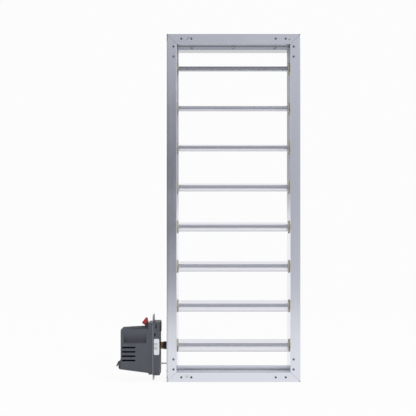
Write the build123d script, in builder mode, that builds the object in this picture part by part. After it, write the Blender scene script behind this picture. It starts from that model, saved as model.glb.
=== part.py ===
from build123d import *
import os
from math import acos, cos, pi, radians, sin, tan

os.makedirs("parts", exist_ok=True)

# Rectangular zone damper, in millimetres. It stands on z = 0, centred on x = 0 and y = 0.
# Air flows along Y, the front is at -Y, and the actuator hangs on the left, at -X.

# Frame channels
BLADE_COUNT = 8
BLADE_PITCH = 76.2
OPENING_WIDTH = 216.0
END_GAP = 6.4
FRAME_DEPTH = 127.0
FACE_WIDTH = 19.0
WALL = 2.0
LIP = 6.0
PROFILE_RADIUS = 0.8

# Corner plates and their rivets
PLATE_LEG = 58.0
PLATE_CLEARANCE = 1.0
CORNER_PLATE_THICKNESS = 2.0
RIVET_DIAMETER = 4.4
STILE_RIVET_INSET = 13.0
RAIL_RIVET_INSET = 9.0
RIVET_RECESS = 0.4
RIVET_TAIL = 1.0
STILE_RIVET_STEPS = (24.0, 43.0)
RAIL_RIVET_STEPS = (28.0, 47.0)

# Blades and axles
AXIS_FORWARD = 18.0
ROW_RISE = 2.5
BLADE_LAP = 2.8
VANE_ROOT = 2.4
VANE_TIP = 1.6
HUB_DIAMETER = 10.0
AXLE_DIAMETER = 7.0
AXLE_INSERT = 25.0
AXLE_END = 1.0
BLADE_END_GAP = 0.5
REST_TILT = 12.0
CLOSED_TILT = 88.0

# Bearings
BEARING_FLANGE_DIAMETER = 25.0
BEARING_FLANGE_THICKNESS = 2.5
BARREL_DIAMETER = 12.0
BARREL_PROUD = 3.0
RUN_CLEARANCE = 0.06

# Stops on the rails
STOP_THICKNESS = 1.5
STOP_FOOT = 14.0
TOP_STOP_LAP = 3.0
BOTTOM_STOP_LAP = 0.8
STOP_CLEARANCE = 0.4
STOP_END_GAP = 1.0
STOP_RIVET_SPACING = 80.0
STOP_RIVET_DIAMETER = 3.2
STOP_RIVET_HEAD = 6.5
STOP_RIVET_HEAD_HEIGHT = 1.2
STOP_RIVET_TAPER = 30.0

# Linkage in the right stile
CRANK_RADIUS = 25.0
CRANK_HUB_DIAMETER = 14.0
CRANK_TIP_DIAMETER = 10.0
CRANK_THICKNESS = 3.0
CRANK_GAP = 0.5
LINK_GAP = 0.4
LINK_WIDTH = 12.0
LINK_THICKNESS = 3.0
LINK_END = 8.0
PIN_DIAMETER = 5.0
PIN_CLEARANCE = 0.1
PIN_PROUD = 0.6
PIN_HEAD_DIAMETER = 8.0
PIN_HEAD_HEIGHT = 1.2

# Actuator housing, measured from the drive shaft's axis
ACTUATOR_GAP = 13.9
BASE_DEPTH = 76.0
BASE_THICKNESS = 12.0
BASE_ABOVE = 47.0
BASE_BELOW = 55.0
BASE_RADIUS = 8.0
BASE_WALL = 2.5
MOUNTING_PLATE_THICKNESS = 1.2
MOUNTING_PLATE_ABOVE = 60.0
MOUNTING_PLATE_BELOW = 65.0
MOUNTING_PLATE_RADIUS = 20.0
MOUNTING_PLATE_CLEARANCE = 0.12
COVER_DEPTH = 61.0
COVER_WIDTH = 72.0
COVER_ABOVE = 36.5
COVER_BELOW = 50.7
COVER_TOP_DRAFT = 3.0
COVER_BOTTOM_DRAFT = 6.9
COVER_RADIUS = 7.0
COVER_END_RADIUS = 2.0
COVER_WALL = 2.2
COVER_FLANGE_THICKNESS = 8.0
COVER_FLANGE_INSET = 1.5

# Actuator surface detail
VENT_COUNT = 4
VENT_PITCH = 8.2
VENT_LENGTH = 26.0
VENT_HEIGHT = 3.2
VENT_FROM_END = 2.4
VENT_TOP = 3.0
SCOOP_DEPTH = 3.2
SCOOP_TOP = 30.0
SCOOP_BOTTOM = 6.0
SCOOP_LEDGE = 3.0
SCOOP_FROM_END = 6.0
SCOOP_LENGTH = 43.0
FOOT_REACH = 4.5
FOOT_BITE = 4.0
FOOT_HEIGHT = 17.0
FOOT_WIDTH = 56.0
FOOT_RADIUS = 4.0
LUG_WIDTH = 40.0
LUG_HEIGHT = 20.0
LUG_REACH = 1.8
WINDOW_DEPTH = 4.0
WINDOW_WIDTH = 2.2
UPPER_WINDOW_LENGTH = 9.0
UPPER_WINDOW_FROM_PLATE = 5.6
UPPER_WINDOW_RISE = 39.5
LOWER_WINDOW_LENGTH = 6.0
LOWER_WINDOW_FROM_PLATE = 3.4
LOWER_WINDOW_RISE = 23.0
SCREW_DIAMETER = 3.0
SCREW_HEAD = 6.4
SCREW_HEAD_HEIGHT = 2.4
SCREW_BITE = 7.0
POST_DIAMETER = 9.0
POST_SINK = 1.2
CLIP_WIDTH = 10.0
CLIP_THICKNESS = 2.4
CLIP_REACH = 6.4
CLIP_HEIGHT = 9.5

# Release lever on the cover
LEVER_PIVOT_OUT = 3.6
LEVER_PIVOT_RISE = 3.6
LEVER_HUB_DIAMETER = 6.4
LEVER_WIDTH = 12.0
LEVER_EAR = 2.7
LEVER_EAR_DIAMETER = 8.0
LEVER_SIDE_GAP = 0.3
LEVER_PIN_DIAMETER = 3.0
LEVER_WING_REACH = 8.0
LEVER_WING_RISE = 4.0
LEVER_TIP_REACH = 1.8
LEVER_TIP_RISE = 12.0
LEVER_EDGE_RADIUS = 2.0

# Coupling and gear train
OUTPUT_SHAFT_DIAMETER = 8.0
COUPLING_DIAMETER = 14.2
COUPLING_END_GAP = 0.4
COUPLING_GRIP = 12.0
SLEEVE_DIAMETER = 15.2
SLEEVE_FROM_BASE = 6.4
SLEEVE_LENGTH = 13.0
SET_SCREW_DIAMETER = 3.5
SET_SCREW_PROUD = 0.6
SET_SCREW_FROM_BASE = 3.6
ANTI_PIN_DIAMETER = 3.0
ANTI_PIN_DROP = 35.0
ANTI_PIN_INSERT = 9.0
GEAR_MODULE = 1.0
GEAR_ROOT_DEPTH = 1.25
PRESSURE_ANGLE = 25.0
BACKLASH = 0.12
OUTPUT_TEETH = 40
PINION_TEETH = 12
WHEEL_TEETH = 32
COMPOUND_DIRECTION = -120.0
MOTOR_DIRECTION = -20.0
MOTOR_DIAMETER = 32.0
MOTOR_LENGTH = 20.0
MOTOR_BOSS_DIAMETER = 12.0
MOTOR_BOSS_HEIGHT = 1.0
MOTOR_SHAFT_DIAMETER = 3.0
MOTOR_SHAFT_INSERT = 8.0
ARBOR_DIAMETER = 4.0
ARBOR_SHOULDER = 6.5
ARBOR_HEAD_HEIGHT = 1.2
WHEEL_GAP = 2.0
WHEEL_WIDTH = 4.0
GEAR_WIDTH = 5.0
GEAR_SIDE_GAP = 2.0
END_PLAY = 0.25
SHAFT_PROUD = 1.0

# Places worked out from the sizes above
frame_width = OPENING_WIDTH + 2 * FACE_WIDTH
frame_height = BLADE_COUNT * BLADE_PITCH + 2 * (END_GAP + FACE_WIDTH)
half_width = frame_width / 2
half_height = frame_height / 2
half_depth = FRAME_DEPTH / 2
half_opening = OPENING_WIDTH / 2
web_outside = half_opening + WALL
barrel_end = web_outside + BARREL_PROUD

blade_chord = BLADE_PITCH + BLADE_LAP
blade_half = half_opening - BEARING_FLANGE_THICKNESS - BLADE_END_GAP
row_middle = half_height + ROW_RISE
blade_axes = [row_middle + (BLADE_COUNT - 1 - 2 * i) / 2 * BLADE_PITCH for i in range(BLADE_COUNT)]
shaft_z = blade_axes[-1]
tilt = radians(REST_TILT)

crank_angle = radians(REST_TILT - CLOSED_TILT / 2)
crank_inside = barrel_end + CRANK_GAP
crank_outside = crank_inside + CRANK_THICKNESS
link_inside = crank_outside + LINK_GAP
link_outside = link_inside + LINK_THICKNESS
pin_y = CRANK_RADIUS * cos(crank_angle)
pin_drop = CRANK_RADIUS * sin(crank_angle)

base_right = -half_width - ACTUATOR_GAP
base_left = base_right - BASE_THICKNESS
plate_left = base_left - MOUNTING_PLATE_THICKNESS
cover_left = plate_left - COVER_DEPTH
flange_left = plate_left - COVER_FLANGE_THICKNESS
half_cover = COVER_WIDTH / 2
shaft_joint = -web_outside - COUPLING_GRIP - BARREL_PROUD


def save(builder, name, forward=AXIS_FORWARD):
    """Set a finished piece forward of mid-depth and write it under its name."""
    piece = Pos(0, -forward, 0) * builder.part
    piece.label = name
    export_step(piece, f"parts/{name}.step")


def direction(angle):
    """Unit step in the YZ plane at an angle in degrees, measured from +Y towards +Z."""
    return cos(radians(angle)), sin(radians(angle))


# Blades, stops, linkage and actuator are drawn about the plane of the blades' axes, y = 0, and set
# forward together when they are saved. The frame is drawn in its place.

# Frame: four lipped channels with their webs round the opening, mitred at the corners
def corner_rivets_of(steps_x, steps_z):
    """Rivet centres (x, z) at the four corners, from their steps along each axis."""
    return [
        (side * (half_width - x), half_height + end * (half_height - z))
        for side in (-1, 1)
        for end in (-1, 1)
        for x in steps_x
        for z in steps_z
    ]


stile_rivets = corner_rivets_of((STILE_RIVET_INSET,), STILE_RIVET_STEPS)
rail_rivets = corner_rivets_of(RAIL_RIVET_STEPS, (RAIL_RIVET_INSET,))
stop_rivet_xs = (-STOP_RIVET_SPACING, 0, STOP_RIVET_SPACING)
stop_reach = (blade_chord / 2 - TOP_STOP_LAP) * cos(radians(CLOSED_TILT))
stop_face = stop_reach - VANE_TIP / 2 - STOP_CLEARANCE
stop_rivet_y = STOP_FOOT / 2 + STOP_THICKNESS / 2 - stop_face


def channel_section():
    """Lipped channel: local x across the depth, local y outwards from the opening."""
    inner = half_depth - WALL
    mouth = half_depth - LIP
    with BuildLine() as outline:
        Polyline(
            (-half_depth, 0),
            (half_depth, 0),
            (half_depth, FACE_WIDTH),
            (mouth, FACE_WIDTH),
            (mouth, FACE_WIDTH - WALL),
            (inner, FACE_WIDTH - WALL),
            (inner, WALL),
            (-inner, WALL),
            (-inner, FACE_WIDTH - WALL),
            (-mouth, FACE_WIDTH - WALL),
            (-mouth, FACE_WIDTH),
            (-half_depth, FACE_WIDTH),
            close=True,
        )
    section = make_face(outline.edges())
    fillet(section.vertices(), PROFILE_RADIUS)


def mitre(side, end, keep_x, keep_z):
    """Cut the channel on the diagonal through one outer corner of the frame."""
    corner = (side * half_width, 0, half_height + end * half_height)
    split(bisect_by=Plane(origin=corner, z_dir=(keep_x, 0, keep_z)), keep=Keep.TOP)


def drill_flanges(centres):
    """Rivet holes through the front and the back flange."""
    with BuildSketch(Plane.XZ) as holes:
        with Locations(*centres):
            Circle(RIVET_DIAMETER / 2)
    extrude(holes.sketch, amount=FRAME_DEPTH, both=True, mode=Mode.SUBTRACT)


def drill_web(side, centres, diameter):
    """Holes through a stile's web, at (y, z) centres."""
    with BuildSketch(Plane.YZ.offset(side * (half_opening + WALL / 2))) as holes:
        with Locations(*centres):
            Circle(diameter / 2)
    extrude(holes.sketch, amount=WALL, both=True, mode=Mode.SUBTRACT)


def stile(side):
    """Upright channel at the left (-1) or right (1) of the opening, drilled for the bearings."""
    with BuildPart() as channel:
        foot = Plane(origin=(side * half_opening, 0, 0), x_dir=(0, -side, 0), z_dir=(0, 0, 1))
        with BuildSketch(foot):
            channel_section()
        extrude(amount=frame_height)
        mitre(side, -1, side, 1)
        mitre(side, 1, side, -1)
        drill_web(side, [(-AXIS_FORWARD, z) for z in blade_axes], BARREL_DIAMETER)
        drill_flanges([(x, z) for x, z in stile_rivets if x * side > 0])
        if side < 0:
            drill_web(side, [(-AXIS_FORWARD, shaft_z - ANTI_PIN_DROP)], ANTI_PIN_DIAMETER)
    return channel


def rail(end):
    """Level channel at the bottom (-1) or top (1) of the opening, drilled for its stop."""
    web_z = half_height + end * (half_height - FACE_WIDTH)
    with BuildPart() as channel:
        start = Plane(origin=(-half_width, 0, web_z), x_dir=(0, end, 0), z_dir=(1, 0, 0))
        with BuildSketch(start):
            channel_section()
        extrude(amount=frame_width)
        mitre(-1, end, 1, end)
        mitre(1, end, -1, end)
        drill_flanges([(x, z) for x, z in rail_rivets if (z - half_height) * end > 0])
        with BuildSketch(Plane.XY.offset(web_z + end * WALL / 2)):
            with Locations(*[(x, -end * stop_rivet_y - AXIS_FORWARD) for x in stop_rivet_xs]):
                Circle(STOP_RIVET_DIAMETER / 2)
        extrude(amount=WALL, both=True, mode=Mode.SUBTRACT)
    return channel


left_stile = stile(-1)
save(left_stile, "left_stile", forward=0)
right_stile = stile(1)
save(right_stile, "right_stile", forward=0)
bottom_rail = rail(-1)
save(bottom_rail, "bottom_rail", forward=0)
top_rail = rail(1)
save(top_rail, "top_rail", forward=0)


# Corner plates lie behind the flanges, between the webs and the lips
def corner_plates(side):
    """Four L-shaped plates behind the front (-1) or back (1) flanges."""
    outer = WALL + PLATE_CLEARANCE
    inner = FACE_WIDTH - WALL - PLATE_CLEARANCE
    outline = (
        (outer, outer),
        (PLATE_LEG, outer),
        (PLATE_LEG, inner),
        (inner, inner),
        (inner, PLATE_LEG),
        (outer, PLATE_LEG),
    )
    with BuildPart() as plates:
        with BuildSketch(Plane.XZ.offset(-side * (half_depth - WALL))):
            for x_side in (-1, 1):
                for end in (-1, 1):
                    with BuildLine():
                        Polyline(
                            *[
                                (x_side * (half_width - x), half_height + end * (half_height - z))
                                for x, z in outline
                            ],
                            close=True,
                        )
                    make_face()
            with Locations(*stile_rivets, *rail_rivets):
                Circle(RIVET_DIAMETER / 2, mode=Mode.SUBTRACT)
        extrude(amount=side * CORNER_PLATE_THICKNESS)
    return plates


front_corner_plates = corner_plates(-1)
save(front_corner_plates, "front_corner_plates", forward=0)
back_corner_plates = corner_plates(1)
save(back_corner_plates, "back_corner_plates", forward=0)

rivet_length = WALL - RIVET_RECESS + CORNER_PLATE_THICKNESS + RIVET_TAIL
rivet_inner = half_depth - RIVET_RECESS - rivet_length
with BuildPart() as corner_rivets:
    for start in (rivet_inner, RIVET_RECESS - half_depth):
        with BuildSketch(Plane.XZ.offset(start)):
            with Locations(*stile_rivets, *rail_rivets):
                Circle(RIVET_DIAMETER / 2)
        extrude(amount=rivet_length)
save(corner_rivets, "corner_rivets", forward=0)


# Stops: angles riveted across the rails at mid-depth, which the end blades close against
def stop_angle(end):
    """Angle on the bottom (-1) or top (1) rail, with its leg lapping the closed blade's edge."""
    web_z = half_height + end * (half_height - FACE_WIDTH)
    blade_z, lap = (blade_axes[0], TOP_STOP_LAP) if end > 0 else (blade_axes[-1], BOTTOM_STOP_LAP)
    leg = abs(web_z - blade_z) - blade_chord / 2 + lap
    outline = (
        (0, 0),
        (STOP_FOOT, 0),
        (STOP_FOOT, STOP_THICKNESS),
        (STOP_THICKNESS, STOP_THICKNESS),
        (STOP_THICKNESS, leg),
        (0, leg),
    )
    length = OPENING_WIDTH - 2 * STOP_END_GAP
    with BuildPart() as angle:
        with BuildSketch(Plane.YZ.offset(-length / 2)):
            with BuildLine():
                Polyline(*[(-end * (y - stop_face), web_z - end * z) for y, z in outline], close=True)
            make_face()
        extrude(amount=length)
        with BuildSketch(Plane.XY.offset(web_z - end * STOP_THICKNESS / 2)):
            with Locations(*[(x, -end * stop_rivet_y) for x in stop_rivet_xs]):
                Circle(STOP_RIVET_DIAMETER / 2)
        extrude(amount=STOP_THICKNESS, both=True, mode=Mode.SUBTRACT)
    return angle


bottom_stop = stop_angle(-1)
save(bottom_stop, "bottom_stop")
top_stop = stop_angle(1)
save(top_stop, "top_stop")

stop_grip = WALL + STOP_THICKNESS
with BuildPart() as stop_rivets:
    for end in (-1, 1):
        web_z = half_height + end * (half_height - FACE_WIDTH)
        seat_z = web_z - end * STOP_THICKNESS
        spots = [(x, -end * stop_rivet_y) for x in stop_rivet_xs]
        with BuildSketch(Plane.XY.offset(seat_z)):
            with Locations(*spots):
                Circle(STOP_RIVET_DIAMETER / 2)
        extrude(amount=end * (stop_grip + RIVET_TAIL))
        with BuildSketch(Plane.XY.offset(seat_z)):
            with Locations(*spots):
                Circle(STOP_RIVET_HEAD / 2)
        extrude(amount=-end * STOP_RIVET_HEAD_HEIGHT, taper=STOP_RIVET_TAPER)
save(stop_rivets, "stop_rivets")


# Blades: a tubular hub with two thin tapered vanes, tilted by the same angle
def blade_at(axis_z):
    """One extruded blade about its axis, with its back edge raised."""
    end_plane = Plane(origin=(-blade_half, 0, axis_z), x_dir=(0, cos(tilt), sin(tilt)), z_dir=(1, 0, 0))
    reach = blade_chord / 2
    with BuildPart() as blade:
        with BuildSketch(end_plane):
            Circle(HUB_DIAMETER / 2)
            for side in (-1, 1):
                shoulder = side * (reach - VANE_TIP / 2)
                with BuildLine():
                    Polyline(
                        (shoulder, -VANE_TIP / 2),
                        (0, -VANE_ROOT / 2),
                        (0, VANE_ROOT / 2),
                        (shoulder, VANE_TIP / 2),
                    )
                    ThreePointArc((shoulder, VANE_TIP / 2), (side * reach, 0), (shoulder, -VANE_TIP / 2))
                make_face()
            Circle(AXLE_DIAMETER / 2, mode=Mode.SUBTRACT)
        extrude(amount=2 * blade_half)
    return blade


def rod(stretches):
    """Round rod along X, from stretches of (x start, x end, diameter, y, z)."""
    for start, stop, diameter, y, z in stretches:
        with BuildSketch(Plane.YZ.offset(start)) as end_face:
            with Locations((y, z)):
                Circle(diameter / 2)
        extrude(end_face.sketch, amount=stop - start)


for number, axis_z in enumerate(blade_axes, start=1):
    blade = blade_at(axis_z)
    save(blade, f"blade_{number}")

    inner = blade_half - AXLE_INSERT
    left_end = -barrel_end - AXLE_END
    with BuildPart() as axles:
        rod([(inner, crank_outside, AXLE_DIAMETER, 0, axis_z)])
        if number < BLADE_COUNT:
            rod([(left_end, -inner, AXLE_DIAMETER, 0, axis_z)])
    save(axles, f"axles_{number}")


# Bearings: flanged nylon bushes pressed into the webs
def bearings(side):
    """The row of bearings in the left (-1) or right (1) stile."""
    centres = [(0, z) for z in blade_axes]
    with BuildPart() as row:
        with BuildSketch(Plane.YZ.offset(side * half_opening)):
            with Locations(*centres):
                Circle(BEARING_FLANGE_DIAMETER / 2)
        extrude(amount=-side * BEARING_FLANGE_THICKNESS)
        with BuildSketch(Plane.YZ.offset(side * half_opening)):
            with Locations(*centres):
                Circle(BARREL_DIAMETER / 2)
        extrude(amount=side * (WALL + BARREL_PROUD))
        with BuildSketch(Plane.YZ.offset(side * half_opening)):
            with Locations(*centres):
                Circle(AXLE_DIAMETER / 2 + RUN_CLEARANCE)
        extrude(amount=WALL + BARREL_PROUD, both=True, mode=Mode.SUBTRACT)
    return row


left_bearings = bearings(-1)
save(left_bearings, "left_bearings")
right_bearings = bearings(1)
save(right_bearings, "right_bearings")

# Linkage: a crank arm on each right-hand axle, joined by one upright link bar
for number, axis_z in enumerate(blade_axes, start=1):
    with BuildPart() as crank_arm:
        with BuildSketch(Plane.YZ.offset(crank_inside)):
            with Locations((0, axis_z)):
                Circle(CRANK_HUB_DIAMETER / 2)
            with Locations((pin_y, axis_z + pin_drop)):
                Circle(CRANK_TIP_DIAMETER / 2)
            make_hull()
            with Locations((0, axis_z)):
                Circle(AXLE_DIAMETER / 2, mode=Mode.SUBTRACT)
            with Locations((pin_y, axis_z + pin_drop)):
                Circle(PIN_DIAMETER / 2 + PIN_CLEARANCE, mode=Mode.SUBTRACT)
        extrude(amount=CRANK_THICKNESS)
    save(crank_arm, f"crank_arm_{number}")

pin_spots = [(pin_y, z + pin_drop) for z in blade_axes]
with BuildPart() as link_bar:
    with BuildSketch(Plane.YZ.offset(link_inside)):
        with Locations((pin_y, row_middle + pin_drop)):
            SlotOverall((BLADE_COUNT - 1) * BLADE_PITCH + 2 * LINK_END, LINK_WIDTH, rotation=90)
        with Locations(*pin_spots):
            Circle(PIN_DIAMETER / 2, mode=Mode.SUBTRACT)
    extrude(amount=LINK_THICKNESS)
save(link_bar, "link_bar")

with BuildPart() as link_pins:
    for y, z in pin_spots:
        rod([
            (crank_inside - PIN_PROUD, link_outside, PIN_DIAMETER, y, z),
            (link_outside, link_outside + PIN_HEAD_HEIGHT, PIN_HEAD_DIAMETER, y, z),
        ])
save(link_pins, "link_pins")

# Drive: the lowest blade's shaft, coupled to the actuator's output shaft
with BuildPart() as drive_shaft:
    rod([(shaft_joint, AXLE_INSERT - blade_half, AXLE_DIAMETER, 0, shaft_z)])
save(drive_shaft, "drive_shaft")

gear_x = plate_left - MOTOR_LENGTH - WHEEL_GAP - WHEEL_WIDTH - GEAR_SIDE_GAP
shaft_end = gear_x - GEAR_WIDTH - SHAFT_PROUD
with BuildPart() as output_shaft:
    rod([(shaft_end, shaft_joint, OUTPUT_SHAFT_DIAMETER, 0, shaft_z)])
save(output_shaft, "output_shaft")

coupling_left = base_right + COUPLING_END_GAP
coupling_right = shaft_joint + COUPLING_GRIP
set_screw_x = base_right + SET_SCREW_FROM_BASE
with BuildPart() as coupling:
    rod([(coupling_left, coupling_right, COUPLING_DIAMETER, 0, shaft_z)])
    for start, stop, diameter in (
        (coupling_left, shaft_joint, OUTPUT_SHAFT_DIAMETER),
        (shaft_joint, coupling_right, AXLE_DIAMETER),
    ):
        with BuildSketch(Plane.YZ.offset(start)):
            with Locations((0, shaft_z)):
                Circle(diameter / 2)
        extrude(amount=stop - start, mode=Mode.SUBTRACT)
    with BuildSketch(Plane.XZ.offset(OUTPUT_SHAFT_DIAMETER / 2)):
        with Locations((set_screw_x, shaft_z)):
            Circle(SET_SCREW_DIAMETER / 2)
    extrude(amount=COUPLING_DIAMETER, mode=Mode.SUBTRACT)
save(coupling, "coupling")

with BuildPart() as coupling_screw:
    with BuildSketch(Plane.XZ.offset(OUTPUT_SHAFT_DIAMETER / 2)):
        with Locations((set_screw_x, shaft_z)):
            Circle(SET_SCREW_DIAMETER / 2)
    extrude(amount=(COUPLING_DIAMETER - OUTPUT_SHAFT_DIAMETER) / 2 + SET_SCREW_PROUD)
save(coupling_screw, "coupling_screw")

sleeve_left = base_right + SLEEVE_FROM_BASE
with BuildPart() as coupling_sleeve:
    with BuildSketch(Plane.YZ.offset(sleeve_left)):
        with Locations((0, shaft_z)):
            Circle(SLEEVE_DIAMETER / 2)
            Circle(COUPLING_DIAMETER / 2, mode=Mode.SUBTRACT)
    extrude(amount=SLEEVE_LENGTH)
save(coupling_sleeve, "coupling_sleeve")

# Actuator housing: a shallow base and a deep cover on the two sides of the mounting plate
post_inset = COVER_WALL + POST_DIAMETER / 2 - POST_SINK
screw_y = half_cover - post_inset
upper_screw_z = shaft_z + (COVER_ABOVE + BASE_ABOVE - COVER_FLANGE_INSET) / 2
lower_screw_z = shaft_z - COVER_BELOW + post_inset
screw_spots = [(y, z) for y in (-screw_y, screw_y) for z in (upper_screw_z, lower_screw_z)]
anti_pin_z = shaft_z - ANTI_PIN_DROP


def upright_panel(above, below, depth, radius):
    """Rounded outline in the YZ plane, from a height above to one below the shaft."""
    with Locations((0, shaft_z + (above - below) / 2)):
        RectangleRounded(depth, above + below, radius)


def round_holes(centres, diameter):
    """Round holes cut out of a sketch in the YZ plane."""
    with Locations(*centres):
        Circle(diameter / 2, mode=Mode.SUBTRACT)


with BuildPart() as actuator_base:
    with BuildSketch(Plane.YZ.offset(base_left)):
        upright_panel(BASE_ABOVE, BASE_BELOW, BASE_DEPTH, BASE_RADIUS)
    extrude(amount=BASE_THICKNESS)
    with BuildSketch(Plane.YZ.offset(base_left)):
        upright_panel(
            BASE_ABOVE - BASE_WALL,
            BASE_BELOW - BASE_WALL,
            BASE_DEPTH - 2 * BASE_WALL,
            BASE_RADIUS - BASE_WALL,
        )
        round_holes(screw_spots + [(0, anti_pin_z)], POST_DIAMETER)
        round_holes([(0, shaft_z)], OUTPUT_SHAFT_DIAMETER + POST_DIAMETER)
    extrude(amount=BASE_THICKNESS - BASE_WALL, mode=Mode.SUBTRACT)
    with BuildSketch(Plane.YZ.offset(base_right)):
        with Locations((0, shaft_z + BASE_ABOVE - LUG_HEIGHT / 2)):
            RectangleRounded(LUG_WIDTH, LUG_HEIGHT, LUG_HEIGHT / 2 - LUG_REACH)
    extrude(amount=LUG_REACH)
    with BuildSketch(Plane.YZ.offset(base_left)):
        with Locations(*screw_spots):
            Circle(SCREW_DIAMETER / 2)
        with Locations((0, shaft_z)):
            Circle(OUTPUT_SHAFT_DIAMETER / 2 + RUN_CLEARANCE)
    extrude(amount=BASE_THICKNESS + LUG_REACH, mode=Mode.SUBTRACT)
    with BuildSketch(Plane.YZ.offset(base_right - SCREW_HEAD_HEIGHT)):
        with Locations(*screw_spots):
            Circle(SCREW_HEAD / 2)
    extrude(amount=SCREW_HEAD_HEIGHT + LUG_REACH, mode=Mode.SUBTRACT)
    with BuildSketch(Plane.YZ.offset(base_right - ANTI_PIN_INSERT)):
        with Locations((0, anti_pin_z)):
            Circle(ANTI_PIN_DIAMETER / 2)
    extrude(amount=ANTI_PIN_INSERT, mode=Mode.SUBTRACT)
    with BuildSketch(Plane.XZ.offset(BASE_DEPTH / 2)):
        for out, rise, length in (
            (UPPER_WINDOW_FROM_PLATE, UPPER_WINDOW_RISE, UPPER_WINDOW_LENGTH),
            (LOWER_WINDOW_FROM_PLATE, LOWER_WINDOW_RISE, LOWER_WINDOW_LENGTH),
        ):
            with Locations((base_left + out, shaft_z + rise)):
                SlotOverall(length, WINDOW_WIDTH, rotation=90)
    extrude(amount=-WINDOW_DEPTH, mode=Mode.SUBTRACT)
save(actuator_base, "actuator_base")

with BuildPart() as mounting_plate:
    with BuildSketch(Plane.YZ.offset(plate_left)):
        upright_panel(MOUNTING_PLATE_ABOVE, MOUNTING_PLATE_BELOW, BASE_DEPTH, MOUNTING_PLATE_RADIUS)
        round_holes(screw_spots, SCREW_DIAMETER)
        round_holes([(0, shaft_z)], OUTPUT_SHAFT_DIAMETER + 2 * MOUNTING_PLATE_CLEARANCE)
    extrude(amount=MOUNTING_PLATE_THICKNESS)
save(mounting_plate, "mounting_plate")

pivot_x = flange_left - LEVER_PIVOT_OUT
pivot_z = shaft_z + COVER_ABOVE + LEVER_PIVOT_RISE
ear_offset = LEVER_WIDTH / 2 + LEVER_SIDE_GAP
foot_z = shaft_z - COVER_BELOW + COVER_BOTTOM_DRAFT + FOOT_HEIGHT / 2


def cover_sections(inset):
    """Sections of the cover's drafted body, inset from its outside."""
    sections = []
    for x, top_draft, bottom_draft in (
        (flange_left, 0, 0),
        (cover_left + inset, COVER_TOP_DRAFT, COVER_BOTTOM_DRAFT),
    ):
        with BuildSketch(Plane.YZ.offset(x)) as section:
            upright_panel(
                COVER_ABOVE - top_draft - inset,
                COVER_BELOW - bottom_draft - inset,
                COVER_WIDTH - 2 * inset,
                COVER_RADIUS - inset,
            )
        sections.append(section.sketch)
    return sections


def scoop_outline(side, depth):
    """Wedge that leans into a side wall and ends in a ledge, in the YZ plane."""
    face = side * half_cover
    bottom = face - side * depth
    with BuildLine() as wedge:
        Polyline(
            (face, shaft_z + SCOOP_TOP),
            (bottom, shaft_z + SCOOP_BOTTOM + SCOOP_LEDGE),
            (face, shaft_z + SCOOP_BOTTOM),
            close=True,
        )
    make_face(wedge.edges())


with BuildPart() as actuator_cover:
    loft(cover_sections(0))
    end_edges = actuator_cover.faces().sort_by(Axis.X)[0].edges()
    fillet(end_edges, COVER_END_RADIUS)
    with BuildSketch(Plane.YZ.offset(flange_left)):
        upright_panel(
            BASE_ABOVE - COVER_FLANGE_INSET,
            BASE_BELOW - COVER_FLANGE_INSET,
            BASE_DEPTH - 2 * COVER_FLANGE_INSET,
            BASE_RADIUS - COVER_FLANGE_INSET,
        )
    extrude(amount=COVER_FLANGE_THICKNESS)
    with BuildSketch(Plane.XZ):
        with Locations((cover_left + (FOOT_BITE - FOOT_REACH) / 2, foot_z)):
            RectangleRounded(FOOT_REACH + FOOT_BITE, FOOT_HEIGHT, FOOT_RADIUS)
    extrude(amount=FOOT_WIDTH / 2, both=True)
    loft(cover_sections(COVER_WALL), mode=Mode.SUBTRACT)
    with BuildSketch(Plane.YZ.offset(flange_left)):
        upright_panel(
            COVER_ABOVE - COVER_WALL,
            COVER_BELOW - COVER_WALL,
            COVER_WIDTH - 2 * COVER_WALL,
            COVER_RADIUS - COVER_WALL,
        )
    extrude(amount=COVER_FLANGE_THICKNESS, mode=Mode.SUBTRACT)
    with BuildSketch(Plane.YZ.offset(plate_left - SCREW_BITE - COVER_WALL)):
        with Locations(*[(y, z) for y, z in screw_spots if z < shaft_z]):
            Circle(POST_DIAMETER / 2)
    extrude(amount=SCREW_BITE + COVER_WALL)
    with BuildSketch(Plane.YZ.offset(plate_left - SCREW_BITE)):
        with Locations(*screw_spots):
            Circle(SCREW_DIAMETER / 2)
    extrude(amount=SCREW_BITE, mode=Mode.SUBTRACT)
    for side in (-1, 1):
        with BuildSketch(Plane.YZ.offset(cover_left + SCOOP_FROM_END)):
            scoop_outline(side, SCOOP_DEPTH + COVER_WALL)
        extrude(amount=SCOOP_LENGTH)
        with BuildSketch(Plane.YZ.offset(cover_left + SCOOP_FROM_END)):
            scoop_outline(side, SCOOP_DEPTH)
        extrude(amount=SCOOP_LENGTH, mode=Mode.SUBTRACT)
    with BuildSketch(Plane.XZ):
        for i in range(VENT_COUNT):
            vent_x = cover_left + VENT_FROM_END + VENT_LENGTH / 2
            with Locations((vent_x, shaft_z - VENT_TOP + VENT_HEIGHT / 2 - i * VENT_PITCH)):
                SlotOverall(VENT_LENGTH, VENT_HEIGHT)
    extrude(amount=COVER_WIDTH, mode=Mode.SUBTRACT)
    for side in (-1, 1):
        with BuildSketch(Plane.XZ.offset(-side * ear_offset - (side + 1) / 2 * LEVER_EAR)):
            with Locations((pivot_x, pivot_z)):
                Circle(LEVER_EAR_DIAMETER / 2)
            with Locations((flange_left, pivot_z)):
                Circle(LEVER_EAR_DIAMETER / 2)
            with Locations((pivot_x, shaft_z + COVER_ABOVE - COVER_WALL / 2)):
                Circle(LEVER_EAR_DIAMETER / 4)
            make_hull()
            with Locations((pivot_x, pivot_z)):
                Circle(LEVER_PIN_DIAMETER / 2, mode=Mode.SUBTRACT)
        extrude(amount=LEVER_EAR)
save(actuator_cover, "actuator_cover")

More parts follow.
